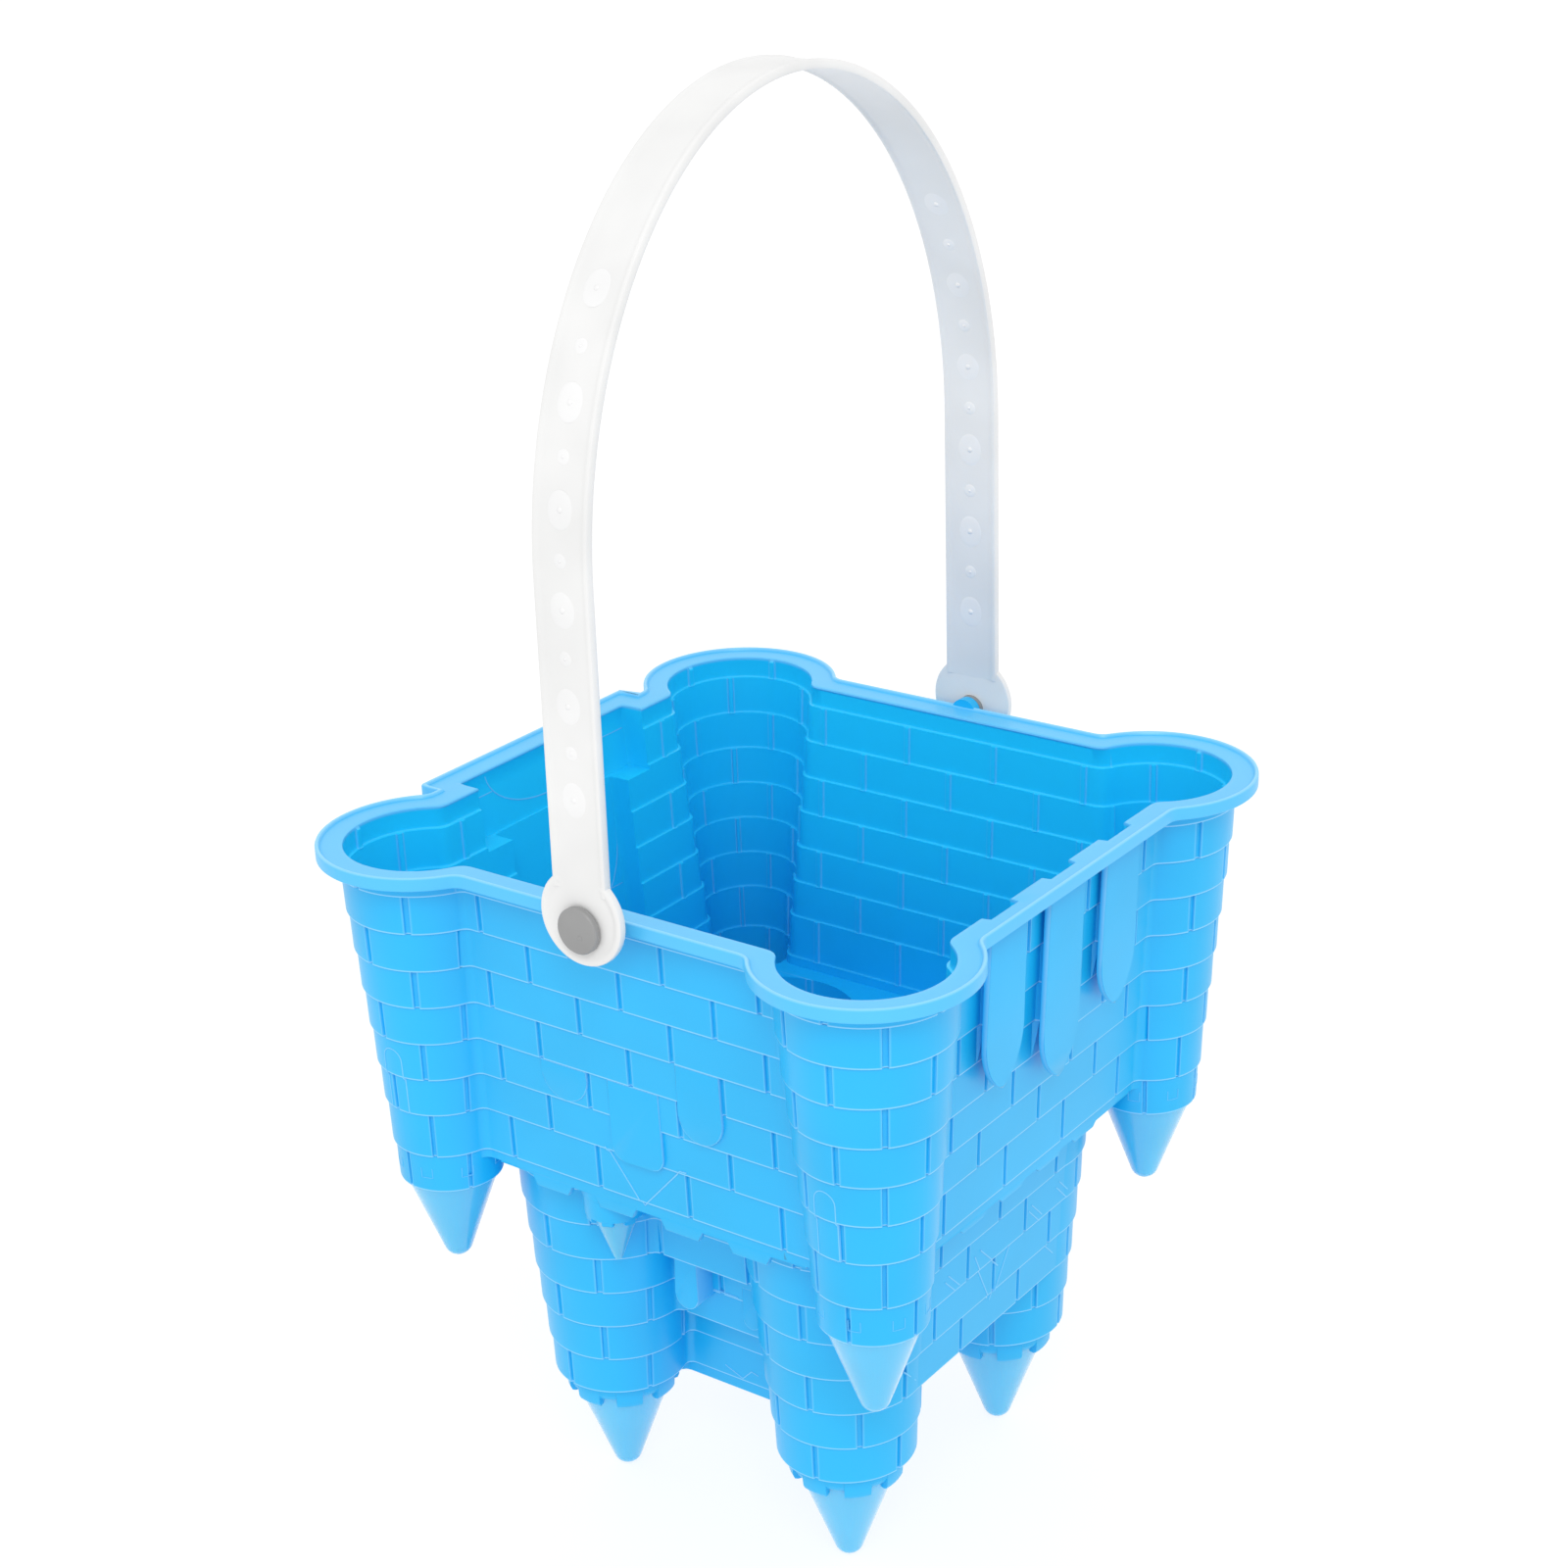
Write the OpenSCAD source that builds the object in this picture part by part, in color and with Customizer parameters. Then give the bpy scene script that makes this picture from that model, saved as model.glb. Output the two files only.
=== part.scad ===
// Castle-shaped sand bucket: a two-tier tub with corner towers and a swinging strap handle.
// Units are millimetres. Z is up, the lower tower tips stand on z = 0,
// and the handle turns on an axis parallel to Y through the two rim pivots.

/* [Tub] */
// Height of the rim's raised outer lip
rim_z = 160; // [150:1:170]
// Wall thickness of the moulding
wall = 1.6; // [1.2:0.1:2.4]
// Half spacing of the upper corner towers
top_c = 55.3; // [50:0.1:60]
// Upper tower radius just under the rim
top_r = 18.5; // [16:0.1:20]
// Upper wall half width along X under the rim
top_x = 65.5; // [60:0.1:70]
// Upper wall half width along Y under the rim
top_y = 63.1; // [58:0.1:68]
// Inward step of each brick course of the upper tier
step_u = 0.9; // [0.5:0.05:1.2]
// Height of one brick course of the upper tier
course_u = 8.87; // [8:0.01:10]
// Half spacing of the lower corner towers
low_c = 30.8; // [26:0.1:34]
// Lower tower radius at its top
low_r = 19.8; // [17:0.1:21]
// Height of one brick course of the lower tier
course_l = 9.1; // [8:0.1:10]

/* [Gatehouse and panels] */
// Half width of the gatehouse that stands out of the back-left wall
gate_y = 30.1; // [25:0.1:34]
// How far the gatehouse stands out at the rim
gate_out = 5.6; // [3:0.1:8]
// Width of an arched panel on the front-right wall
panel_w = 14; // [10:0.5:18]
// Spacing of the arched panels
panel_pitch = 22.6; // [18:0.1:26]
// Pitch of the crenellations under the upper tier
merlon_pitch = 17.2; // [14:0.1:20]
// Pitch of the crenellations on the panel wall and the gatehouse wall
merlon_pitch_x = 15; // [12:0.1:18]

/* [Handle] */
// Height of the pivot axis
pivot_z = 158.4; // [150:0.1:165]
// Distance of the strap's middle surface from the centre plane
arm_y = 70.9; // [69:0.1:74]
// Height where the straight arms turn into the bow
bow_z = 228; // [200:1:240]
// Rise of the bow above that height
bow_h = 85; // [70:1:95]
// Strap width
strap_w = 13.2; // [11:0.1:16]
// Strap thickness over its edge ribs
strap_t = 2.2; // [2:0.1:4]
// Depth of the web below the strap's edge ribs, and of the eyelet's dish below its rim
web_in = 0.4; // [0.2:0.05:0.8]
// Eyelet outer radius
eye_r = 10; // [9:0.1:12]

/* [Pivot] */
// Radius of the button's journal
journal_r = 3.1; // [2.8:0.05:4]
// Radial running clearance in the eyelet
clear_r = 0.05; // [0.02:0.01:0.1]
// Radius of the button's head
head_r = 5.0; // [4.9:0.05:7]

/* [Hidden] */
$fn = 96;
flange_z = rim_z - 3;
line0 = 153.8;
ledge_z = 88;
low_top = ledge_z + 0.5;
band_z = 81.3;
foot_z = 46.4;
turret_x = -14.8;
turret_y = -49;
turret_z = 79.6;
base_z = 25.2;
boss_start = 61.6;
boss_end = 69.2;
boss_r = 3.15;
boss_full = 65.6;
shank_r = 2;
shank_end = 66.2;
head_out = 73.6;
head_in = 72.0;
upper_tip = 59.7;

// underside height of upper course k, counted from the rim down
function uz(k) = k == 0 ? line0 : (k < 7 ? line0 - course_u * k : (k == 7 ? 90.2 : band_z));
// underside height of lower course k
function lz(k) = 73.7 - course_l * k;

module towers(c, r) {
    for (sx = [-1, 1], sy = [-1, 1]) translate([sx * c, sy * c]) circle(r = r);
}

module upper_outline(k, g) {
    r = top_r - step_u * k;
    square([2 * (top_x - step_u * k - g), 2 * (top_y - step_u * k - g)], center = true);
    towers(top_c, r - g);
}

module lower_outline(k, y, g) {
    r = low_r - 0.85 * k;
    square([2 * (low_c + r - 0.4 - g), 2 * low_c], center = true);
    square([2 * low_c, 2 * (y - g)], center = true);
    towers(low_c, r - g);
}

module slab(z0, z1) {
    translate([0, 0, z0]) linear_extrude(z1 - z0) children();
}

module rim_outline(g) {
    square([2 * (70 - g), 2 * (67.5 - g)], center = true);
    towers(top_c, 22.8 - g);
    translate([-75.3 + g, -35 + g]) square([40, 70 - 2 * g]);
}

module rim_opening() {
    square([2 * 63.65, 2 * 61.2], center = true);
    towers(top_c, 17.1);
    translate([-69.6, -28.5]) square([30, 57]);
}

module gate(g) {
    // the wide part under the rim, then the narrower doorway below it
    translate([-top_x - gate_out + g, -gate_y + g, 144 + g])
        cube([20, 2 * (gate_y - g), flange_z - 144]);
    translate([-67 + g, -22 + g, 100 + g]) cube([20, 2 * (22 - g), 50]);
}

module panel_face(spring, g) {
    // an upside-down pointed arch: two arcs whose centres are on the opposite edges
    half = panel_w / 2;
    translate([-half + g, spring]) square([panel_w - 2 * g, flange_z - spring]);
    intersection() {
        translate([-half, spring]) circle(r = panel_w - g);
        translate([half, spring]) circle(r = panel_w - g);
        translate([-panel_w, spring - 20]) square([2 * panel_w, 20.5]);
    }
}

module panels(g) {
    for (k = [-1, 0, 1]) {
        spring = k == 0 ? 125 : 132.4;
        translate([56, k * panel_pitch - 0.6, 0]) rotate([90, 0, 90])
            linear_extrude(9.9 - g) panel_face(spring, g);
    }
}

module upper_outer() {
    slab(line0, flange_z) upper_outline(0, 0);
    for (k = [1 : 6]) slab(uz(k), uz(k - 1)) upper_outline(k, 0);
    slab(90.2, uz(6)) upper_outline(7, 0);
    slab(ledge_z, 90.2) upper_outline(8, 0);
    gate(0);
    panels(0);
}

module upper_inner() {
    slab(uz(0) + 0.8, rim_z + 1) upper_outline(0, wall);
    for (k = [1 : 6]) slab(uz(k) + 0.8, uz(k - 1) + 0.8) upper_outline(k, wall);
    slab(91.0, uz(6) + 0.8) upper_outline(7, wall);
    slab(ledge_z + wall, 91.0) upper_outline(8, wall);
    gate(wall);
    panels(wall);
}

module tower_cone(c, z_top, r_top, tip_z, tip_r) {
    for (sx = [-1, 1], sy = [-1, 1]) translate([sx * c, sy * c, 0]) {
        translate([0, 0, tip_z + 2.25]) cylinder(r1 = tip_r - 0.1, r2 = r_top, h = z_top - tip_z - 2.25);
        translate([0, 0, tip_z + tip_r - 0.15]) sphere(r = tip_r);
    }
}

module tower_cone_hollow(c, z_top, r_top, tip_z) {
    for (sx = [-1, 1], sy = [-1, 1]) translate([sx * c, sy * c, tip_z + 5])
        cylinder(r1 = 2.2, r2 = r_top - 1.5, h = z_top - tip_z - 5);
}

module lower_outer() {
    slab(lz(0), low_top) lower_outline(0, 39.8, 0);
    slab(lz(1), lz(0)) lower_outline(1, 38.6, 0);
    slab(lz(2), lz(1)) lower_outline(2, 33.5, 0);
    slab(foot_z, lz(2)) lower_outline(3, 31.8, 0);
    slab(base_z, foot_z) square(51, center = true);
    slab(lz(4), foot_z) towers(low_c, 16.1);
    slab(28.2, lz(4)) towers(low_c, 15.3);
    slab(22.2, 28.2) towers(low_c, 12.7);
}

module lower_inner() {
    slab(lz(0) + 0.8, low_top + 3) lower_outline(0, 39.8, wall);
    slab(lz(1) + 0.8, lz(0) + 0.8) lower_outline(1, 38.6, wall);
    slab(lz(2) + 0.8, lz(1) + 0.8) lower_outline(2, 33.5, wall);
    slab(foot_z + wall, lz(2) + 0.8) lower_outline(3, 31.8, wall);
    slab(base_z + wall, foot_z + 2) square(51 - 2 * wall, center = true);
    slab(lz(4) + 0.8, foot_z + 2) towers(low_c, 16.1 - wall);
    slab(29.4, lz(4) + 0.8) towers(low_c, 15.3 - wall);
    slab(23.6, 29.4) towers(low_c, 12.7 - wall);
}

module merlons() {
    for (s = [-1, 1], k = [-1.5 : 1 : 1.5])
        translate([k * merlon_pitch - 4, s * (top_y - 8 * step_u + 0.15) - (s > 0 ? wall : 0), 85.3]) cube([8, wall, 4]);
    for (s = [-1, 1], k = [-2 : 2])
        translate([s * (top_x - 8 * step_u) - (s > 0 ? wall : 0), k * merlon_pitch_x - 4, 86.3])
            cube([wall, 7.5, 3]);
}

module turret(g) {
    // small turret that hangs under the ledge beside the front-left lower tower
    translate([turret_x, turret_y, 0]) {
        translate([0, 0, turret_z + g]) cylinder(r = 7.1 - g, h = ledge_z + 0.8 - turret_z + g);
        if (g == 0) translate([0, 0, 68.1]) cylinder(r1 = 0.8, r2 = 5, h = turret_z + 0.5 - 68.1);
    }
}

module tub_shell() {
    difference() {
        union() {
            upper_outer();
            slab(band_z, ledge_z + 1) towers(top_c, 11.35);
            tower_cone(top_c, band_z + 0.5, 10.4, upper_tip, 3.35);
            lower_outer();
            tower_cone(low_c, 22.7, 10.8, 0, 3.5);
            merlons();
            turret(0);
            slab(flange_z, rim_z - 0.7) rim_outline(0);
            difference() {
                slab(rim_z - 1.5, rim_z) rim_outline(0);
                slab(rim_z - 0.7, rim_z + 1) rim_outline(1);
            }
        }
        slab(flange_z - 3, rim_z + 1) rim_opening();
        upper_inner();
        slab(band_z + 1.4, 92) towers(top_c, 11.35 - wall);
        tower_cone_hollow(top_c, band_z + 1.9, 10.6, upper_tip);
        lower_inner();
        turret(wall);
        tower_cone_hollow(low_c, 24, 11.1, 0);
        slab(-2, 0) square(90, center = true);
    }
}

module boss(s) {
    // a full round outside the flange, and no more than a rib below the flange's top inside it
    rotate([0, 0, s > 0 ? 180 : 0]) intersection() {
        translate([0, -boss_start, pivot_z]) rotate([90, 0, 0]) cylinder(r = boss_r, h = boss_end - boss_start);
        union() {
            translate([-10, -80, 150]) cube([20, 30, 8.6]);
            translate([-10, -boss_full - 10, 150]) cube([20, 10, 20]);
        }
    }
}

module castle_tub() {
    color([0.16, 0.66, 0.95]) difference() {
        union() {
            tub_shell();
            boss(-1);
            boss(1);
        }
        for (s = [-1, 1]) translate([0, s * shank_end, pivot_z]) rotate([-s * 90, 0, 0])
            cylinder(r = shank_r, h = 10);
    }
}

// strap outline from one foot over the bow to the other, t off the middle surface
function bow(t, n) = concat(
    [[-arm_y - t, 166]],
    [for (i = [0 : n]) [-(arm_y + t) * cos(180 * i / n), bow_z + (bow_h + t) * sin(180 * i / n)]],
    [[arm_y + t, 166]]);

module strap_profile(t) {
    n = 60;
    o = bow(t / 2, n);
    i = bow(-t / 2, n);
    polygon(concat(o, [for (k = [len(i) - 1 : -1 : 0]) i[k]]));
}

module strap(x0, w, t) {
    translate([x0, 0, 0]) rotate([90, 0, 90]) linear_extrude(w) strap_profile(t);
}

module eyelet(s) {
    translate([0, s * (arm_y + strap_t / 2), 0]) rotate([s * 90, 0, 0]) {
        linear_extrude(strap_t) difference() {
            union() {
                translate([0, s * 160.6]) circle(r = eye_r);
                polygon([[-8.6, s * 166], [-6.6, s * 174], [6.6, s * 174], [8.6, s * 166]]);
            }
            translate([0, s * pivot_z]) circle(r = journal_r + clear_r);
        }
    }
}

module carry_handle() {
    color([0.93, 0.94, 0.95]) difference() {
        union() {
            strap(-strap_w / 2 + 1.3, strap_w - 2.6, strap_t - 2 * web_in);
            strap(-strap_w / 2, 1.4, strap_t);
            strap(strap_w / 2 - 1.4, 1.4, strap_t);
            eyelet(-1);
            eyelet(1);
        }
        for (s = [-1, 1]) translate([0, s * (arm_y + strap_t / 2 - web_in), pivot_z + 1.2])
            rotate([-s * 90, 0, 0]) cylinder(r = 8.2, h = 2);
    }
}

module pivot_button(s) {
    color([0.66, 0.67, 0.68]) translate([0, 0, pivot_z]) rotate([-s * 90, 0, 0]) {
        translate([0, 0, shank_end]) cylinder(r = shank_r, h = 6);
        translate([0, 0, boss_end]) cylinder(r = journal_r, h = head_in - boss_end);
        translate([0, 0, head_in]) cylinder(r = head_r, h = head_out - head_in);
    }
}

module pivot_button_front() {
    pivot_button(-1);
}

module pivot_button_rear() {
    pivot_button(1);
}

castle_tub();
carry_handle();
pivot_button_front();
pivot_button_rear();
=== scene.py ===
"""Looks of the castle-shaped sand bucket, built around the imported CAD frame."""

import math

import bmesh
import bpy
from mathutils import Matrix, Vector
from mathutils.geometry import tessellate_polygon


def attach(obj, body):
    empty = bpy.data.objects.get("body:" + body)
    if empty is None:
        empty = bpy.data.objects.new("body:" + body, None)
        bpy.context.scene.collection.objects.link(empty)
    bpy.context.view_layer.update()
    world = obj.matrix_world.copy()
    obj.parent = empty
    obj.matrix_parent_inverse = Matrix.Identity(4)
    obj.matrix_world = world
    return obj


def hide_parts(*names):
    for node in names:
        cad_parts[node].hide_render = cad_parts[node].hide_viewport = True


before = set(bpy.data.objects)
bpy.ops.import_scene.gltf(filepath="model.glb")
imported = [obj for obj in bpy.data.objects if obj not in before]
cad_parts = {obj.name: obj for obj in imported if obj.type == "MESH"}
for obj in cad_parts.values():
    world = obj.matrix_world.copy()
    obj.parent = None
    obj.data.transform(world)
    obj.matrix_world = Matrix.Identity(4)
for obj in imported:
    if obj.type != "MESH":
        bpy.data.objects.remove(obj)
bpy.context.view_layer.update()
MM = 0.001

# ---------------------------------------------------------------- dimensions, in millimetres
WALL = 1.5                   # wall thickness
TOP_C = 55.3                 # half spacing of the upper corner towers
LOW_C = 30.8                 # half spacing of the lower corner towers
STEP = 0.57                  # depth of the groove between two bricks, about a course's step
DRAFT = 0.037                # inward draft for each millimetre of height
JOINT_W = 0.9                # width of the groove between two bricks
RIM_Z = 160.0
LEDGE_Z = 88.0               # underside of the upper tier
BAND_Z = 81.3                # lower end of the upper towers' last band
BASE_Z = 25.2                # underside of the middle block
PIVOT_Z = 158.4
BOSS_R, BOSS_END = 3.15, 69.2   # radius of a pivot boss, and how far out it ends
HEAD_FACE = 73.5             # how far out a button's face is
INNER_TOP_Z = 158.4          # where the inner skin meets the rim's rounding
FLANGE_Z = 157.0             # underside of the rim's flange
SECOND_Z = 145.0             # lower edge of the second course
COURSE = 8.87                # height of a course of the upper tier
UPPER_Z = [FLANGE_Z, 153.8] + [SECOND_Z - COURSE * i for i in range(6)] + [90.2, LEDGE_Z]
LAST_UPPER = 7               # number of the upper tier's last course, where the second is 0
LOWER_Z = [LEDGE_Z, 82.8, 73.7, 64.6, 55.5, 46.4]
FOOT_Z = [46.4, 37.3, 28.2]
LOWER_FIRST, FOOT_FIRST = 19, 24        # course numbers where the lower tier and middle block begin
UPPER_X, UPPER_X_STEP = 64.5, 0.93      # half width along X at the second course, and loss per course
UPPER_Y, UPPER_Y_STEP = 62.3, 0.88
UPPER_R, UPPER_R_STEP = 17.6, 0.9
LOWER_R, LOWER_R_STEP = 21.0, 0.97
FOOT_X, FOOT_X_STEP = 26.0, 0.6
FOOT_Y, FOOT_Y_STEP = 25.0, 0.7
FOOT_R = 16.1
LOWER_WALL_Y = [39.8, 39.2, 38.3, 32.6, 31.1]
TOWER_PROUD = 0.15           # how far the lower towers stand out past the walls along X
SMOOTH_COURSES = 3           # courses of the lower tier whose wall along X is one smooth face
PANEL_Y = [-23.2, -0.7, 22.0]           # middles of the three hanging panels
PANEL_SPRING = [132.5, 125.0, 132.3]    # where their pointed ends begin
PANEL_W = 14.0
CONE_WALL = 1.2
NOTCHES = 8                  # notches round the collar of a lower tower
CORNERS = ("right_front", "right_rear", "left_rear", "left_front")
ENDS = ((-1, "front"), (1, "rear"))


# ---------------------------------------------------------------- materials
def principled(name, color, rough, **extra):
    mat = bpy.data.materials.new(name)
    mat.use_nodes = True
    nodes, links = mat.node_tree.nodes, mat.node_tree.links
    bsdf = nodes["Principled BSDF"]
    bsdf.inputs["Base Color"].default_value = (*color, 1)
    bsdf.inputs["Roughness"].default_value = rough
    for key, value in extra.items():
        bsdf.inputs[key.replace("_", " ")].default_value = value
    return mat, nodes, links, bsdf


def add_bump(nodes, links, bsdf, scale, strength, distance):
    coord = nodes.new("ShaderNodeTexCoord")
    noise = nodes.new("ShaderNodeTexNoise")
    bump = nodes.new("ShaderNodeBump")
    noise.inputs["Scale"].default_value = scale
    noise.inputs["Detail"].default_value = 2
    bump.inputs["Strength"].default_value = strength
    bump.inputs["Distance"].default_value = distance
    links.new(coord.outputs["Object"], noise.inputs["Vector"])
    links.new(noise.outputs["Fac"], bump.inputs["Height"])
    links.new(bump.outputs["Normal"], bsdf.inputs["Normal"])
    return coord


def tint(nodes, links, bsdf, coord, scale, low, high):
    noise = nodes.new("ShaderNodeTexNoise")
    ramp = nodes.new("ShaderNodeValToRGB")
    noise.inputs["Scale"].default_value = scale
    ramp.color_ramp.elements[0].position = 0.35
    ramp.color_ramp.elements[1].position = 0.65
    ramp.color_ramp.elements[0].color = (*low, 1)
    ramp.color_ramp.elements[1].color = (*high, 1)
    links.new(coord.outputs["Object"], noise.inputs["Vector"])
    links.new(noise.outputs["Fac"], ramp.inputs["Fac"])
    links.new(ramp.outputs["Color"], bsdf.inputs["Base Color"])


def mix_in(nodes, links, bsdf, attribute_name, color):
    """Mixes in color where the mesh's attribute of that name is high."""
    attribute = nodes.new("ShaderNodeAttribute")
    attribute.attribute_name = attribute_name
    mix = nodes.new("ShaderNodeMixRGB")
    body = bsdf.inputs["Base Color"].links[0].from_socket
    mix.inputs["Color2"].default_value = (*color, 1)
    links.new(attribute.outputs["Fac"], mix.inputs["Fac"])
    links.new(body, mix.inputs["Color1"])
    links.new(mix.outputs["Color"], bsdf.inputs["Base Color"])


def plastic(name, color, rough, grain, patch, painted_light_color=None, painted_highlight_color=None, **extra):
    """Moulded plastic: grain and patch are the scales of its bump and of its tint. The first extra colour is
    painted light on the upper inside, and the second a painted highlight on the thin edges."""
    mat, nodes, links, bsdf = principled(name, color, rough, IOR=1.49, **extra)
    coord = add_bump(nodes, links, bsdf, grain, 0.05, 0.0003)
    low = [0.96 * c for c in color]
    high = [min(1.03 * c, 1.0) for c in color]
    tint(nodes, links, bsdf, coord, patch, low, high)
    if painted_light_color:
        mix_in(nodes, links, bsdf, "room", painted_light_color)
    if painted_highlight_color:
        mix_in(nodes, links, bsdf, "edge", painted_highlight_color)
    return mat


# BLUE's room colour is painted light on the upper inside, standing in for light through the thin walls; its
# edge colour is a painted highlight on lips, joint edges, bevels, raised lines and the rim
BLUE = plastic("blue_plastic", (0.007, 0.458, 0.87), 0.33, 260, 30,
               painted_light_color=(0.012, 0.60, 0.96), painted_highlight_color=(0.25, 0.64, 0.95))
CONE_BLUE = plastic("cone_plastic", (0.07, 0.51, 0.90), 0.2, 260, 40,
                    Subsurface_Weight=0.25, Subsurface_Radius=(0.1, 0.7, 1.0), Subsurface_Scale=0.006,
                    Sheen_Weight=0.6, Sheen_Roughness=0.25, Coat_Weight=0.5, Coat_Roughness=0.15)
WHITE = plastic("white_plastic", (0.765, 0.765, 0.76), 0.30, 300, 45)
MARK_WHITE = plastic("white_marks", (0.80, 0.80, 0.80), 0.30, 300, 45)
GREY = plastic("grey_plastic", (0.28, 0.28, 0.28), 0.45, 500, 120)


# ---------------------------------------------------------------- mesh helpers
def to_object(name, verts, faces, mat, sharp_deg=32, recalc=False):
    """Makes an object from points in millimetres, which may also hold their painted edge highlight and
    painted light on the upper inside. Edges sharper than sharp_deg stay crisp, and recalc turns every face
    outward."""
    bm = bmesh.new()
    layers = [bm.verts.layers.float.new(layer) for layer in ("edge", "room")]
    made = []
    for v in verts:
        made.append(bm.verts.new(Vector(v[:3]) * MM))
        for layer, value in zip(layers, v[3:]):
            made[-1][layer] = value
    for face in faces:
        bm.faces.new([made[k] for k in face])
    if recalc:
        bmesh.ops.recalc_face_normals(bm, faces=bm.faces)
    return from_bmesh(name, bm, mat, sharp_deg)


def from_bmesh(name, bm, mat, sharp_deg=32):
    bmesh.ops.remove_doubles(bm, verts=bm.verts, dist=2e-6)
    bmesh.ops.dissolve_degenerate(bm, edges=bm.edges, dist=1e-6)
    loose = [v for v in bm.verts if not v.link_faces]
    bmesh.ops.delete(bm, geom=loose, context="VERTS")
    bm.normal_update()
    limit = math.radians(sharp_deg)
    for face in bm.faces:
        face.smooth = True
    for edge in bm.edges:
        edge.smooth = not (edge.is_manifold and edge.calc_face_angle(0.0) > limit)
    mesh = bpy.data.meshes.new(name)
    bm.to_mesh(mesh)
    bm.free()
    mesh.materials.append(mat)
    obj = bpy.data.objects.new(name, mesh)
    bpy.context.scene.collection.objects.link(obj)
    return obj


def turn(point, side):
    """Turns a point of the -Y side's frame to side 1 (+X), 2 (+Y) or 3 (-X)."""
    x, y = point
    for _ in range(side):
        x, y = -y, x
    return x, y


def grid_faces(rows, count, first=0, closed=False):
    """Faces between rings of count points each; closed also joins the last ring to the first."""
    faces = []
    for i in range(rows if closed else rows - 1):
        here = first + i * count
        after = first + (i + 1) % rows * count
        for k in range(count):
            nxt = (k + 1) % count
            faces.append((here + k, after + k, after + nxt, here + nxt))
    return faces


def revolve(name, profile, centre, mat, segments=64, closed=False):
    """A skin round a vertical axis; profile holds (radius, z). closed joins its last row to its first."""
    verts = []
    for r, z in profile:
        for k in range(segments):
            a = 2 * math.pi * k / segments
            verts.append((centre[0] + r * math.cos(a), centre[1] + r * math.sin(a), z))
    faces = grid_faces(len(profile), segments, closed=closed)
    if not closed:
        faces.append(tuple(range(segments)))
        faces.append(tuple(range(len(verts) - 1, len(verts) - segments - 1, -1)))
    return to_object(name, verts, faces, mat)


def turned(name, profile, sign, mat, segments):
    """A solid turned about the pivot axis; profile holds (radius, distance out, highest z it may reach)."""
    verts = []
    for r, y, top in profile:
        for k in range(segments):
            a = 2 * math.pi * k / segments
            verts.append((r * math.cos(a), sign * y, min(PIVOT_Z + r * math.sin(a), top)))
    faces = grid_faces(len(profile), segments)
    faces.append(tuple(range(segments)))
    faces.append(tuple(range(len(verts) - segments, len(verts))))
    return to_object(name, verts, faces, mat, recalc=True)


# ---------------------------------------------------------------- the brick skin
WALL_EVEN = (0, 2, 4, 6, 21, 23)
WALL_ODD = (1, 3, 5, 20, 22)
TOWER_EVEN = (0, 2, 4, 6, 20, 22, 24)
TOWER_ODD = (-1, 1, 3, 5, 7, 19, 21, 23, 25)
PLAIN_WALL = [(s * u, WALL_EVEN) for u in (11.72, 35.17) for s in (-1, 1)]
PLAIN_WALL += [(u, WALL_ODD) for u in (-23.45, 0.0, 23.45)]
GATE_WALL = [(s * u, WALL_EVEN) for u in (11.72, 35.17) for s in (-1, 1)] + [(0.0, WALL_ODD)]
SIDE_JOINTS = (PLAIN_WALL, PLAIN_WALL, PLAIN_WALL, GATE_WALL)
JOINT_HIGHLIGHT, INNER_JOINT_HIGHLIGHT = 0.4, 0.45   # painted highlight on the edges of a joint, outside and inside
EDGE_W = 0.14                # width of such an edge
INNER_LIP_HIGHLIGHT = 0.05             # share of a lip's painted highlight on the inner skin
PAINTED_LIGHT_LOW, PAINTED_LIGHT_FADE = 95.0, 30.0   # where painted light on the inside begins, and over what height it grows; it stands in for light through the thin walls
GATE_SORT = 29.0             # where the gatehouse's edge columns stand in the row of columns
GATE_CURVE = ((0.0, 0.0), (0.04, 0.6), (0.2, 0.86), (0.5, 0.97), (1.1, 1.0))   # inset and share of the step
GATE_LOW, DOOR_LOW = 144.0, 100.0  # undersides of the gatehouse's wide part and of its doorway
GATE_HALF, GATE_OUT = 30.1, 5.6    # half width and depth of the wide part
DOOR_HALF, DOOR_OUT = 22.0, 5.0    # the same of the doorway


def door_face(z):
    """Distance of the leaning wall behind the gatehouse from the middle."""
    return 65.4 + 0.105 * (z - 153.8)


def smooth_face(z):
    """Half width along X of the lower tier's smooth wall."""
    return 49.71 + 0.091 * (z - 64.6)


def upper_slope(i, z):
    """How far the draft has carried course i of the upper tier outward at height z."""
    return DRAFT * (z - (SECOND_Z - COURSE * i))


def wall_face(side, i, z):
    """Outer face of course i of the upper tier's wall."""
    return (UPPER_X - UPPER_X_STEP * i if side % 2 else UPPER_Y - UPPER_Y_STEP * i) + upper_slope(i, z)


def tower_face(i, z):
    """Radius of course i of an upper tower."""
    return UPPER_R - UPPER_R_STEP * i + upper_slope(i, z)


def foot_face(side, k, z):
    """Outer face of course k of the middle block."""
    return (FOOT_X - FOOT_X_STEP * k if side % 2 else FOOT_Y - FOOT_Y_STEP * k) + DRAFT * (z - FOOT_Z[k + 1])


class Row:
    """One closed line round the tub at height z, with the wall's half widths a (X) and b (Y) and the
    towers' centre c and radius r."""

    def __init__(self, z, a, b, c, r, fillet, course=None, depth=STEP, gate=(DOOR_HALF, 0.0), notch=0.0,
                 edge=0.0):
        self.z, self.a, self.b, self.c, self.r, self.fillet = z, a, b, c, r, fillet
        # edge and brink hold painted highlight on lips and joint edges, room painted light on the upper
        # inside
        self.course, self.depth, self.gate, self.notch, self.edge = course, depth, gate, notch, edge
        self.door, self.brink, self.room = None, JOINT_HIGHLIGHT, 0.0


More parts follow.
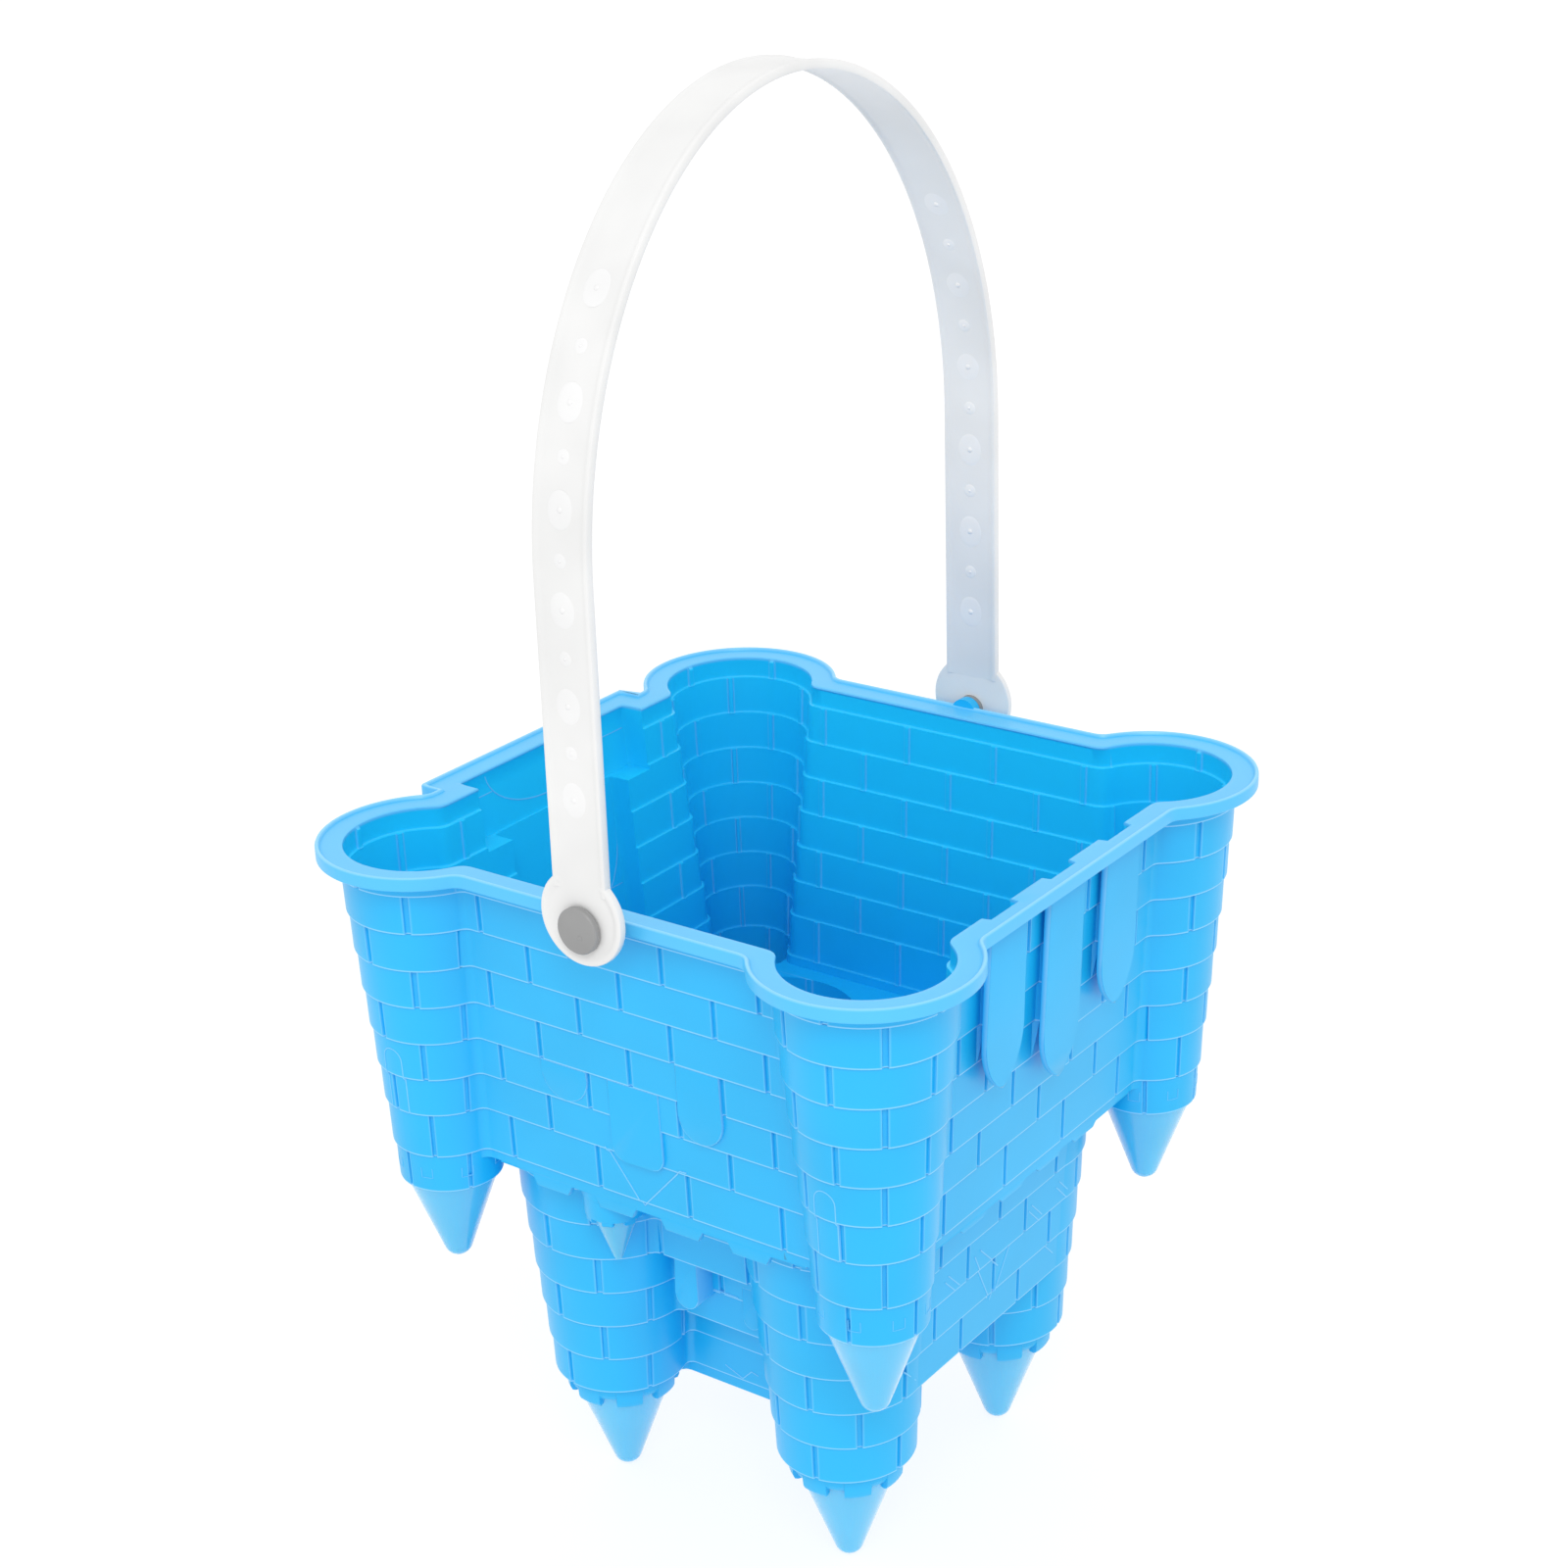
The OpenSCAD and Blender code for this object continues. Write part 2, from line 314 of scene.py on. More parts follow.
def wall_columns(side):
    """Columns of one wall, in order, as (coordinate, kind, courses)."""
    half, edge = JOINT_W / 2, EDGE_W
    cols = []
    for u, courses in SIDE_JOINTS[side]:
        cols += [(u - half - edge, "brink", courses), (u - half, "joint", courses)]
        cols += [(u + half, "joint", courses), (u + half + edge, "brink", courses)]
        cols += [(u - half - 0.55, "plain", ()), (u + half + 0.55, "plain", ())]
    if side == 3:
        cols += [(s * (GATE_SORT - 0.1 * d), "gate", d) for s in (-1, 1) for d in range(len(GATE_CURVE))]
    if side == 1:
        for y in PANEL_Y:
            for s in (-1, 1):
                cols += [(y + s * 5.4, "plain", ()), (y + s * 4.9, "plain", ())]
    cols += [(u, "plain", ()) for u in (-18.0, -6.0, 6.0, 18.0)]
    return sorted(cols, key=lambda col: col[0])


def tower_columns():
    mean_r = 15.0
    half = math.degrees(JOINT_W / 2 / mean_r)
    edge = math.degrees(EDGE_W / mean_r)
    cols = []
    for k in range(-2, 3):
        for base, courses in ((-45, TOWER_EVEN), (-9, TOWER_ODD)):
            a = base + 72 * k
            cols += [(a - half - edge, "brink", courses), (a - half, "joint", courses)]
            cols += [(a + half, "joint", courses), (a + half + edge, "brink", courses)]
            cols += [(a - half - 4 * edge, "plain", ()), (a + half + 4 * edge, "plain", ())]
    taken = [deg for deg, _, _ in cols]
    cols += [(a, "plain", ()) for a in range(-204, 112, 4) if all(abs(a - t) > 2.0 for t in taken)]
    return sorted((c for c in cols if -204 <= c[0] <= 112), key=lambda col: col[0])


WALL_COLS = [wall_columns(s) for s in range(4)]
TOWER_COLS = tower_columns()


def fillet_u(row, w):
    off = w + row.fillet - row.c
    return row.c - math.sqrt(max((row.r + row.fillet) ** 2 - off ** 2, 0.0))


def side_points(row, side):
    w = row.a if side % 2 else row.b
    limit = fillet_u(row, w)
    gate_u, gate_d = row.gate
    out, reached = [], -limit
    for u, kind, data in WALL_COLS[side]:
        if kind == "gate":
            u = math.copysign(gate_u - GATE_CURVE[data][0], u)
        free = -limit < u < limit
        u = max(reached, min(limit, u))
        reached = u
        # edge carries the painted highlight of lips, and of joint edges below
        d, edge = 0.0, row.edge
        if side == 3 and free and (kind == "gate" or abs(u) < gate_u - 0.1):
            share = GATE_CURVE[data][1] if kind == "gate" else 1.0
            place = row.door or w
            out.append((u, -(w + share * (place + gate_d - w)), row.edge if place == w else 0.0))
            continue
        if side == 1 and free and in_panel(u, row.z):
            d = row.notch
        if kind in ("joint", "brink") and free and row.course in data:
            d -= row.depth if kind == "joint" else 0.0
            edge = max(edge, row.brink if kind == "brink" else 0.0)
        out.append((u, -(w + d), edge))
    return out


def in_panel(u, z):
    return any(abs(u - y) < 5.2 and z > spring - 3.0 for y, spring in zip(PANEL_Y, PANEL_SPRING))


def arc(centre, radius, start, end, count):
    step = (end - start) / count
    angles = [start + step * k for k in range(count + 1)]
    return [(centre[0] + radius * math.cos(a), centre[1] + radius * math.sin(a)) for a in angles]


def corner_frame(row, side):
    """Fillet centres and the tower arc's end angles, in the frame of the wall before the corner."""
    w = row.a if side % 2 else row.b
    w_next = row.b if side % 2 else row.a
    c, f = row.c, row.fillet
    f1 = (fillet_u(row, w), -w - f)
    f2 = (w_next + f, -fillet_u(row, w_next))
    start = math.atan2(f1[1] + c, f1[0] - c)
    end = math.atan2(f2[1] + c, f2[0] - c)
    if start > 0:
        start -= 2 * math.pi
    return f1, f2, start, end


def tower_angles(row, side):
    _, _, start, end = corner_frame(row, side)
    out = []
    for deg, kind, courses in TOWER_COLS:
        phi = math.radians(deg)
        cut = start < phi < end and row.course in courses
        depth = row.depth if cut and kind == "joint" else 0.0
        # the third value is the painted highlight of a joint's edge
        out.append((min(max(phi, start), end), depth, row.brink if cut and kind == "brink" else 0.0))
    return out


def bite_angles(row, side):
    """The same number of columns round the tower's inner side, from the first angle back to the last."""
    _, _, start, end = corner_frame(row, side)
    count = len(TOWER_COLS)
    span = start - (end - 2 * math.pi)
    return [start - span * (k + 1) / (count + 1) for k in range(count)]


def corner_points(row, side, bite=False):
    f1, f2, start, end = corner_frame(row, side)
    c, r = row.c, row.r
    if bite:
        middle = [(c + r * math.cos(a), -c + r * math.sin(a), 0.0) for a in bite_angles(row, side)]
    else:
        middle = []
        for phi, depth, edge in tower_angles(row, side):
            rr = r - depth
            middle.append((c + rr * math.cos(phi), -c + rr * math.sin(phi), max(edge, row.edge)))
    first = arc(f1, row.fillet, math.pi / 2, start + math.pi, 4)
    second_start = end + math.pi
    while second_start > 0.0:
        second_start -= 2 * math.pi
    second = arc(f2, row.fillet, second_start, -math.pi, 4)
    return [(x, y, row.edge) for x, y in first] + middle + [(x, y, row.edge) for x, y in second]


def ring(row, bite=False):
    """The row's points as (x, y, z, edge, room), where edge is painted highlight and room painted light on
    the upper inside.
    """
    pts = []
    for side in range(4):
        for x, y, edge in side_points(row, side) + corner_points(row, side, bite):
            pts.append((*turn((x, y), side), row.z, edge, row.room))
    return pts


def well_ring(row, side, r, z, cut=True, edge=0.0):
    """A whole circle of a tower, whose columns fall on those of the ring at row."""
    _, _, start, end = corner_frame(row, side)
    c = row.c
    out = [(start, 0.0, edge)]
    for phi, depth, brink in tower_angles(row, side):
        out.append((phi, depth if cut else 0.0, max(edge, brink)))
    out.append((end, 0.0, edge))
    out += [(a + 2 * math.pi, 0.0, edge) for a in reversed(bite_angles(row, side))]
    # the last value of each point is painted highlight on lips and joint edges
    return [(*turn((c + (r - d) * math.cos(a), -c + (r - d) * math.sin(a)), side), z, highlight_paint)
            for a, d, highlight_paint in out]


# ---------------------------------------------------------------- rows of the tub
def lip_lines(top, low, extra=()):
    """Height, inset and painted highlight down one course: straight, then a small rounding at its lower edge.
    """
    lines = [(top, 0.0, 0.0)]
    for z in extra:
        if low < z < top:
            lines += [(z + 0.01, 0.0, 0.0), (z - 0.01, 0.0, 0.0)]
    return lines + [(low + 0.5, 0.0, 0.0), (low + 0.32, 0.0, 0.8), (low + 0.1, 0.08, 1.0), (low, 0.28, 1.0)]


def gate_at(z):
    """Half width and depth of the gatehouse at height z."""
    if z > GATE_LOW:
        return GATE_HALF, GATE_OUT
    return DOOR_HALF, DOOR_OUT if z > DOOR_LOW else 0.0


def upper_rows(inset, lift):
    """Rows from the flange down to the ledge; lift raises every line, for the inner skin."""
    rows = []
    inside = inset > 0
    for k in range(len(UPPER_Z) - 1):
        i = k - 1
        lines = lip_lines(UPPER_Z[k], UPPER_Z[k + 1], (GATE_LOW, DOOR_LOW))
        if UPPER_Z[k + 1] == LEDGE_Z:
            lines = [(UPPER_Z[k], 0.0, 0.0), (LEDGE_Z, 0.0, 0.0)]
        for z, more, edge in lines:
            q = inset + more
            gate_u, gate_d = gate_at(z)
            row = Row(z + lift, wall_face(1, i, z) - q, wall_face(0, i, z) - q, TOP_C, tower_face(i, z) - q,
                      2.2 + q, i, STEP * (0.9 if inside else 1.0), (gate_u - inset, gate_d), 1.5,
                      edge * (INNER_LIP_HIGHLIGHT if inside else 1.0))
            row.door = door_face(z) - inset if z > DOOR_LOW else None
            # inside, joint edges get their own painted highlight, and the upper part painted light standing
            # in for light through the thin walls
            if inside:
                row.brink = INNER_JOINT_HIGHLIGHT
                row.room = min(max((z - PAINTED_LIGHT_LOW) / PAINTED_LIGHT_FADE, 0.0), 1.0)
            rows.append(row)
    return rows


def lower_rows(inset, lift):
    """Rows of the lower tier, from the ledge down to the middle block."""
    rows = []
    depth = STEP if inset == 0 else STEP * 0.5
    for k in range(len(LOWER_Z) - 1):
        low = LOWER_Z[k + 1]
        for z, more, edge in lip_lines(LOWER_Z[k], low):
            slope = DRAFT * (z - low)
            q = inset + more
            r = LOWER_R - LOWER_R_STEP * k + slope
            wide = LOW_C + r - TOWER_PROUD
            if k < SMOOTH_COURSES:
                wide = min(wide, smooth_face(z))
            rows.append(Row(z + lift, wide - q, LOWER_WALL_Y[k] + slope - q, LOW_C, r - q, 1.6 + q,
                            LOWER_FIRST + k, depth, edge=edge))
    return rows


def foot_rows(inset, lift):
    """Rows of the middle block and of the lower towers beside it."""
    rows = []
    depth = STEP if inset == 0 else STEP * 0.5
    for k in range(len(FOOT_Z) - 1):
        low = FOOT_Z[k + 1]
        for z, more, edge in lip_lines(FOOT_Z[k], low):
            q = inset + more
            r = FOOT_R - LOWER_R_STEP * k + DRAFT * (z - low)
            rows.append(Row(z + lift, foot_face(1, k, z) - q, foot_face(0, k, z) - q, LOW_C, r - q, 1.6 + q,
                            FOOT_FIRST + k, depth, edge=edge))
    for z, more in ((FOOT_Z[-1], 0.3), (BASE_Z + 0.4, 0.4), (BASE_Z, 0.8)):
        q = inset + more
        rows.append(Row(z + lift, 25.4 - q, 24.3 - q, LOW_C, 13.2 - q, 1.6 + q))
    return rows


def rim_rows():
    """From the opening up and over the thin outer lip, down the flange's side and under it."""
    rows = []
    # the last value of each row is painted highlight on the rim's top and rounded lip
    for z, out in ((158.9, 0.0), (159.2, 0.12), (159.3, 0.4)):
        rows.append(Row(z, 63.9 + out, 61.5 + out, TOP_C, 17.05 + out, 3.7 - out, None, 0,
                        (28.6 + out, 5.7), 1.9, 0.4))
    rows.append(Row(159.32, 65.0, 62.6, TOP_C, 18.2, 2.6, None, 0, (29.7, 5.7), 1.9, 0.38))
    rows.append(Row(159.32, 68.4, 65.9, TOP_C, 21.2, 5.2, None, 0, (33.5, 5.3), 0.0, 0.38))
    for z, inset, edge in ((159.35, 1.1, 0.2), (159.9, 0.75, 0.8), (RIM_Z, 0.45, 1.0), (159.9, 0.12, 0.8),
                           (159.6, 0.0, 0.3), (FLANGE_Z + 0.2, 0.0, 0.3), (FLANGE_Z, 0.25, 0.3)):
        rows.append(Row(z, 70.0 - inset, 67.5 - inset, TOP_C, 22.8 - inset, 3.6 + inset, None, 0,
                        (35.0 - inset, 5.3), 0.0, edge))
    return rows


def add_chain(verts, faces, rings):
    """Adds rings of points and the faces between them."""
    faces += grid_faces(len(rings), len(rings[0]), len(verts))
    for points in rings:
        verts += points


def add_flat(verts, faces, outline, hole, upward):
    """A level face, such as a ledge, with or without a hole in it."""
    loops = []
    for points in (outline, hole):
        if points:
            loops.append([p for k, p in enumerate(points) if math.dist(p[:2], points[k - 1][:2]) > 0.002])
    first = len(verts)
    verts += [p for loop in loops for p in loop]
    flat = [[Vector((p[0], p[1], 0.0)) for p in loop] for loop in loops]
    spots = [p for loop in flat for p in loop]
    for a, b, c in tessellate_polygon(flat):
        area = (spots[b] - spots[a]).cross(spots[c] - spots[a]).z
        if abs(area) > 1e-7:
            if (area > 0) != upward:
                b, c = c, b
            faces.append((first + a, first + b, first + c))


def build_shell():
    """The tub's brick skin: both rooms, the rim, the ledge, the floor and the open tower bottoms."""
    verts, faces = [], []
    upper_out, upper_in = upper_rows(0.0, 0.0), upper_rows(WALL, 0.5)
    low_out, low_in = lower_rows(0.0, 0.0), lower_rows(WALL, 1.4)
    foot_out, foot_in = foot_rows(0.0, 0.0), foot_rows(WALL, 1.4)
    ledge_out, ledge_in = upper_out[-1], upper_in[-1]
    base_out, base_in = foot_out[-1], foot_in[-1]
    upper_in[0].z = INNER_TOP_Z
    low_in[0].z = ledge_in.z

    # the upper room: inner wall up, over the rim, outer wall down
    add_chain(verts, faces, [ring(row) for row in upper_in[::-1] + rim_rows() + upper_out])
    # the lower room: inner wall up to the ledge's top
    add_chain(verts, faces, [ring(row) for row in reversed(low_in + foot_in)])
    add_flat(verts, faces, ring(ledge_in, True), ring(low_in[0]), True)
    # the ledge's underside and the lower tier's outer wall
    add_flat(verts, faces, ring(ledge_out, True), ring(low_out[0]), False)
    add_chain(verts, faces, [ring(row) for row in low_out + foot_out])
    # floor and underside of the middle block
    add_flat(verts, faces, ring(base_in, True), None, True)
    add_flat(verts, faces, ring(base_out, True), None, False)
    # tower bottoms, open both ways until a cone closes them
    for side in range(4):
        top = [well_ring(ledge_out, side, ledge_out.r, LEDGE_Z)]
        for z, more, edge in lip_lines(LEDGE_Z, BAND_Z)[1:]:
            top.append(well_ring(ledge_out, side, ledge_out.r - DRAFT * (LEDGE_Z - z) - more, z, True, edge))
        top.append(well_ring(ledge_in, side, ledge_in.r - 0.6, BAND_Z, False))
        top.append(well_ring(ledge_in, side, ledge_in.r, ledge_in.z))
        add_chain(verts, faces, top)
        low = [well_ring(base_out, side, base_out.r, BASE_Z), well_ring(base_in, side, base_in.r, BASE_Z),
               well_ring(base_in, side, base_in.r, base_in.z)]
        add_chain(verts, faces, low)
    return to_object("tub_shell", verts, faces, BLUE)


def corner_xy(c, side):
    """The middle of the corner tower that follows this side."""
    return turn((c, -c), side)


def cone_profile(z0, r0, z_tip, r_tip, wall):
    """A hollow cone with a round tip: outside down, inside back up, as (radius, z)."""
    lean = math.atan2(r0 - r_tip, z0 - z_tip)
    ball_z = z_tip + r_tip
    out = [(r0 - 0.35, z0 + 0.5), (r0, z0)]
    steps = 8
    for k in range(steps + 1):
        a = lean + (math.pi / 2 - lean) * k / steps
        out.append((max(r_tip * math.cos(a), 0.01), ball_z - r_tip * math.sin(a)))
    inner_r = max(r_tip - wall, 0.4)
    inner = []
    for k in range(steps + 1):
        a = lean + (math.pi / 2 - lean) * (1 - k / steps)
        inner.append((max(inner_r * math.cos(a), 0.01), ball_z - inner_r * math.sin(a)))
    return out + inner + [(r0 - wall, z0), (r0 - wall, z0 + 0.5)]


def build_upper_cones():
    """The cones under the upper towers."""
    profile = cone_profile(BAND_Z + 0.1, 10.3, 59.7, 3.3, CONE_WALL)
    return [revolve("upper_cone_" + name, profile, corner_xy(TOP_C, side), CONE_BLUE, closed=True)
            for side, name in enumerate(CORNERS)]


def collar_edge(a):
    """How far the collar's lower edge is cut up at angle a."""
    part = (a / (2 * math.pi) * NOTCHES) % 1.0
    return 2.0 if 0.3 < part < 0.7 else 0.0


def build_collar(name, centre):
    """A short tube with a toothed lower edge."""
    parts = (0.0, 0.15, 0.295, 0.305, 0.5, 0.695, 0.705, 0.85)
    angles = [(k + part) * 2 * math.pi / NOTCHES for k in range(NOTCHES) for part in parts]
    profile = ((12.9, 28.3, 0), (12.9, 26.4, 0), (12.7, 23.4, 1), (12.3, 22.5, 1), (11.5, 22.2, 1),
               (10.0, 22.2, 1), (10.0, 28.3, 0))
    verts = []
    for r, z, follows in profile:
        for a in angles:
            up = follows * collar_edge(a)
            verts.append((centre[0] + r * math.cos(a), centre[1] + r * math.sin(a), z + up))
    return to_object(name, verts, grid_faces(len(profile), len(angles), closed=True), BLUE)


def build_lower_ends():
    """The collars and cones of the lower towers."""
    made = []
    profile = cone_profile(24.4, 11.4, 0.0, 3.4, CONE_WALL)
    for side, name in enumerate(CORNERS):
        centre = corner_xy(LOW_C, side)
        made.append(build_collar("collar_" + name, centre))
        made.append(revolve("lower_cone_" + name, profile, centre, CONE_BLUE, closed=True))
    return made


# ---------------------------------------------------------------- raised pieces on the walls
def plate(name, side, outline, front, back, bevel=0.25):
    """A flat piece on a wall: outline holds (along, z), counter-clockwise from outside, and front(z) and
    back(z) give its faces."""
    bm = bmesh.new()
    light = bm.verts.layers.float.new("edge")
    near = [bm.verts.new(Vector((*turn((u, -front(z)), side), z)) * MM) for u, z in outline]
    far = [bm.verts.new(Vector((*turn((u, -back(z)), side), z)) * MM) for u, z in outline]
    n = len(outline)
    face = bm.faces.new(near)
    bm.faces.new(list(reversed(far)))
    for k in range(n):
        bm.faces.new((near[(k + 1) % n], near[k], far[k], far[(k + 1) % n]))
    bmesh.ops.bevel(bm, geom=list(face.edges), offset=bevel * MM, segments=2, affect="EDGES", profile=0.6)
    # the bevel's points get a painted highlight in the edge attribute
    for v in bm.verts:
        _, out = turn((v.co.x / MM, v.co.y / MM), 4 - side)
        down = front(v.co.z / MM) + out
        v[light] = 0.75 if 0.01 < down < bevel + 0.02 else 0.0
    bmesh.ops.recalc_face_normals(bm, faces=bm.faces)
    return from_bmesh(name, bm, BLUE, 40)


def resample(points, step):
    """Points along a polyline, no further apart than step."""
    out = [points[0]]
    for (u0, z0), (u1, z1) in zip(points, points[1:]):
        count = max(1, math.ceil(math.dist((u0, z0), (u1, z1)) / step))
        out += [(u0 + (u1 - u0) * k / count, z0 + (z1 - z0) * k / count) for k in range(1, count + 1)]
    return out


def ribbon(name, place, points, width=0.45, height=0.14, light=0.7):
    """A thin raised line; place(u, z, out) gives the point that stands out of the surface by out."""
    path = resample(points, 0.8)
    verts = []
    for k, (u, z) in enumerate(path):
        before, after = path[max(k - 1, 0)], path[min(k + 1, len(path) - 1)]
        length = math.dist(before, after)
        du = -(after[1] - before[1]) / length * width / 2
        dz = (after[0] - before[0]) / length * width / 2
        for share, out in ((-1.0, -0.3), (-0.5, height), (0.5, height), (1.0, -0.3)):
            # light is a painted highlight in the edge attribute, along the whole raised line
            verts.append((*place(u + du * share, z + dz * share, out), light))
    faces = grid_faces(len(path), 4)
    faces += [(0, 1, 2, 3), tuple(range(len(verts) - 4, len(verts)))]
    return to_object(name, verts, faces, BLUE, 40, recalc=True)


def lower_face(side, z):
    """Outer face of the lower tier's wall at height z."""
    k = 0
    while k < len(LOWER_WALL_Y) - 1 and z < LOWER_Z[k + 1]:
        k += 1
    slope = DRAFT * (z - LOWER_Z[k + 1])
    if side % 2 == 0:
        return LOWER_WALL_Y[k] + slope
    wide = LOW_C + LOWER_R - LOWER_R_STEP * k + slope - TOWER_PROUD
    return min(wide, smooth_face(z)) if k < SMOOTH_COURSES else wide


def course_of(z):
    """Number of the upper tier's course at height z."""
    i = 0
    while i < LAST_UPPER and z < UPPER_Z[i + 2]:
        i += 1
    return i


def upper_face(side, z):
    """Outer face of the upper tier's wall at height z."""
    return wall_face(side, course_of(z), z)


def on_wall(side, face):
    """The place function of a ribbon on one wall."""
    return lambda u, z, out: (*turn((u, -(face(side, z) + out)), side), z)


def on_tower(side, degrees):
    """The place function of a ribbon on an upper tower; u runs along the tower from the given direction."""
    def place(u, z, out):
        r = tower_face(course_of(z), z) + out
        a = math.radians(degrees) + u / r
        x, y = corner_xy(TOP_C, side)
        return x + r * math.cos(a), y + r * math.sin(a), z
    return place


def on_gate(inside):
    """The place function of a ribbon on the gatehouse's inner or outer face; u runs along Y."""
    def place(u, z, out):
        depth = door_face(z) + (GATE_OUT if z > GATE_LOW else DOOR_OUT)
        return -(depth - WALL - out if inside else depth + out), u, z
    return place


def on_foot(side):
    """The place function of a ribbon on the middle block."""
    def place(u, z, out):
        k = 0 if z > FOOT_Z[1] else 1
        return (*turn((u, -(foot_face(side, k, z) + out)), side), z)
    return place


def hanging_arc(half, middle_z, drop):
    """The lower half of an ellipse, as (along, z), short of its ends."""
    angles = [math.radians(a) for a in range(-176, -3, 8)]
    return [(half * math.cos(a), middle_z + drop * math.sin(a)) for a in angles]


def build_gate_lines(place, tag):
    """The arches and short lines on one face of the gatehouse."""
    arch = hanging_arc(20.0, 158.6, 11.0)
    door = [(-20.0, 143.0)] + hanging_arc(20.0, 131.0, 20.0) + [(20.0, 143.0)]
    made = [ribbon("gate_arch_" + tag, place, arch, 0.5, 0.14, 0.5),
            ribbon("door_arch_" + tag, place, door, 0.5, 0.14, 0.5),
            ribbon("door_line_" + tag, place, [(-21.3, 109.5), (21.3, 109.5)], 0.4, 0.12, 0.5)]
    for k, sign in enumerate((-1, 1)):
        for part, near, far, z in (("gate_line", 18.3, 29.3, 153.8), ("door_side", 15.6, 21.3, 118.4)):
            made.append(ribbon("%s_%s_%d" % (part, tag, k), place, [(near * sign, z), (far * sign, z)],
                               0.4, 0.12, 0.5))
    return made


def build_lines():
    """The thin raised lines: gables, slanted marks, tower windows and the gatehouse's arches."""
    made = []
    for side in (0, 2):
        wall, low = on_wall(side, upper_face), on_wall(side, lower_face)
        made.append(ribbon("gable_%d" % side, wall,
                           [(-9.1, 101.4), (-0.5, 89.4), (10.3, 101.4), (12.0, 101.5)]))
        made.append(ribbon("low_gable_%d" % side, on_foot(side),
                           [(-6.3, 30.9), (-1.6, 28.9), (1.0, 31.6), (2.8, 31.1)], 0.4, 0.1))
        made.append(ribbon("low_line_%d" % side, low, [(-2.2, 56.2), (4.4, 56.2)], 0.4, 0.1))
    for side in (1, 3):
        low = on_wall(side, lower_face)
        made.append(ribbon("slope_left_%d" % side, low, [(-9.2, 69.4), (-1.6, 54.6)]))
        made.append(ribbon("slope_right_%d" % side, low, [(-0.6, 53.6), (6.2, 64.3)]))
        made.append(ribbon("slope_long_%d" % side, low, [(-6.9, 69.8), (1.5, 61.5)]))
        reach = 4.6
        for k, (y, z) in enumerate(((-20.8, 69.1), (13.0, 69.4), (24.8, 69.6))):
            for pair in (0, 1):
                u, v = y + 1.2 * pair, z + 1.0 * pair
                made.append(ribbon("mark_%d_%d_%d" % (side, k, pair), low, [(u, v), (u + reach, v - reach)],
                                   0.4, 0.12))
        for k, (u, v) in enumerate(((-34.0, 53.8), (22.0, 56.0))):
            made.append(ribbon("slope_%d_%d" % (side, k), low, [(u, v), (u + reach, v - reach)], 0.4, 0.12))
    for side in range(4):
        made += tower_window(side)
    return made + build_gate_lines(on_gate(True), "in") + build_gate_lines(on_gate(False), "out")


def tower_window(side):
    """A tall arched window outline on an upper tower, and a ring of small square ones on its lowest band."""
    half, top, bottom = 2.6, 113.4, 101.0
    angles = [math.radians(a) for a in range(165, 14, -15)]
    points = [(-half, bottom), (-half, top)]
    points += [(half * math.cos(a), top + half * math.sin(a)) for a in angles]
    points += [(half, top), (half, bottom), (half - 1.0, bottom - 0.4)]
    facing = -95.0 if side in (0, 3) else 95.0
    made = [ribbon("window_%d" % side, on_tower(side, facing), points, 0.35, 0.1)]
    square = [(-1.3, 87.0), (-1.3, 84.7), (1.3, 84.7), (1.3, 87.0)]
    for k in range(8):
        place = on_tower(side, -75.0 + 45.0 * k)
        made.append(ribbon("square_%d_%d" % (side, k), place, square, 0.3, 0.08, 0.4))
    return made


def pointed_outline(y, spring, top):
    """A hanging panel whose lower end is a pointed arch turned upside down."""
    half = PANEL_W / 2
    steps = 8
    left = []
    for k in range(steps + 1):
        a = math.radians(60) * k / steps
        left.append((y + half - PANEL_W * math.cos(a), spring - PANEL_W * math.sin(a)))
    right = [(2 * y - u, z) for u, z in reversed(left[:-1])]
    return [(y - half, top)] + left + right + [(y + half, top)]


def panel_front(z):
    """Front of the hanging panels, which lean a little more than the wall does."""
    return 65.75 + 0.045 * (z - 122.0)


def build_panels():
    """The three hanging panels of the +X wall."""
    thick, bevel = 1.25, 0.5
    return [plate("panel_%d" % (k + 1), 1, pointed_outline(y, spring, FLANGE_Z + 0.2), panel_front,
                  lambda z: panel_front(z) - thick, bevel)
            for k, (y, spring) in enumerate(zip(PANEL_Y, PANEL_SPRING))]


def tab_outline(u0, u1, top, bottom, radius=None):
    """A hanging tab with round lower corners; without a radius its lower end is a half circle."""
    r = radius or (u1 - u0) / 2
    left = arc((u0 + r, bottom + r), r, math.pi, 1.5 * math.pi, 6)
    right = arc((u1 - r, bottom + r), r, 1.5 * math.pi, 2 * math.pi, 6)
    if not radius:
        right = right[1:]    # the two arcs meet in one point
    return [(u0, top)] + left + right + [(u1, top)]


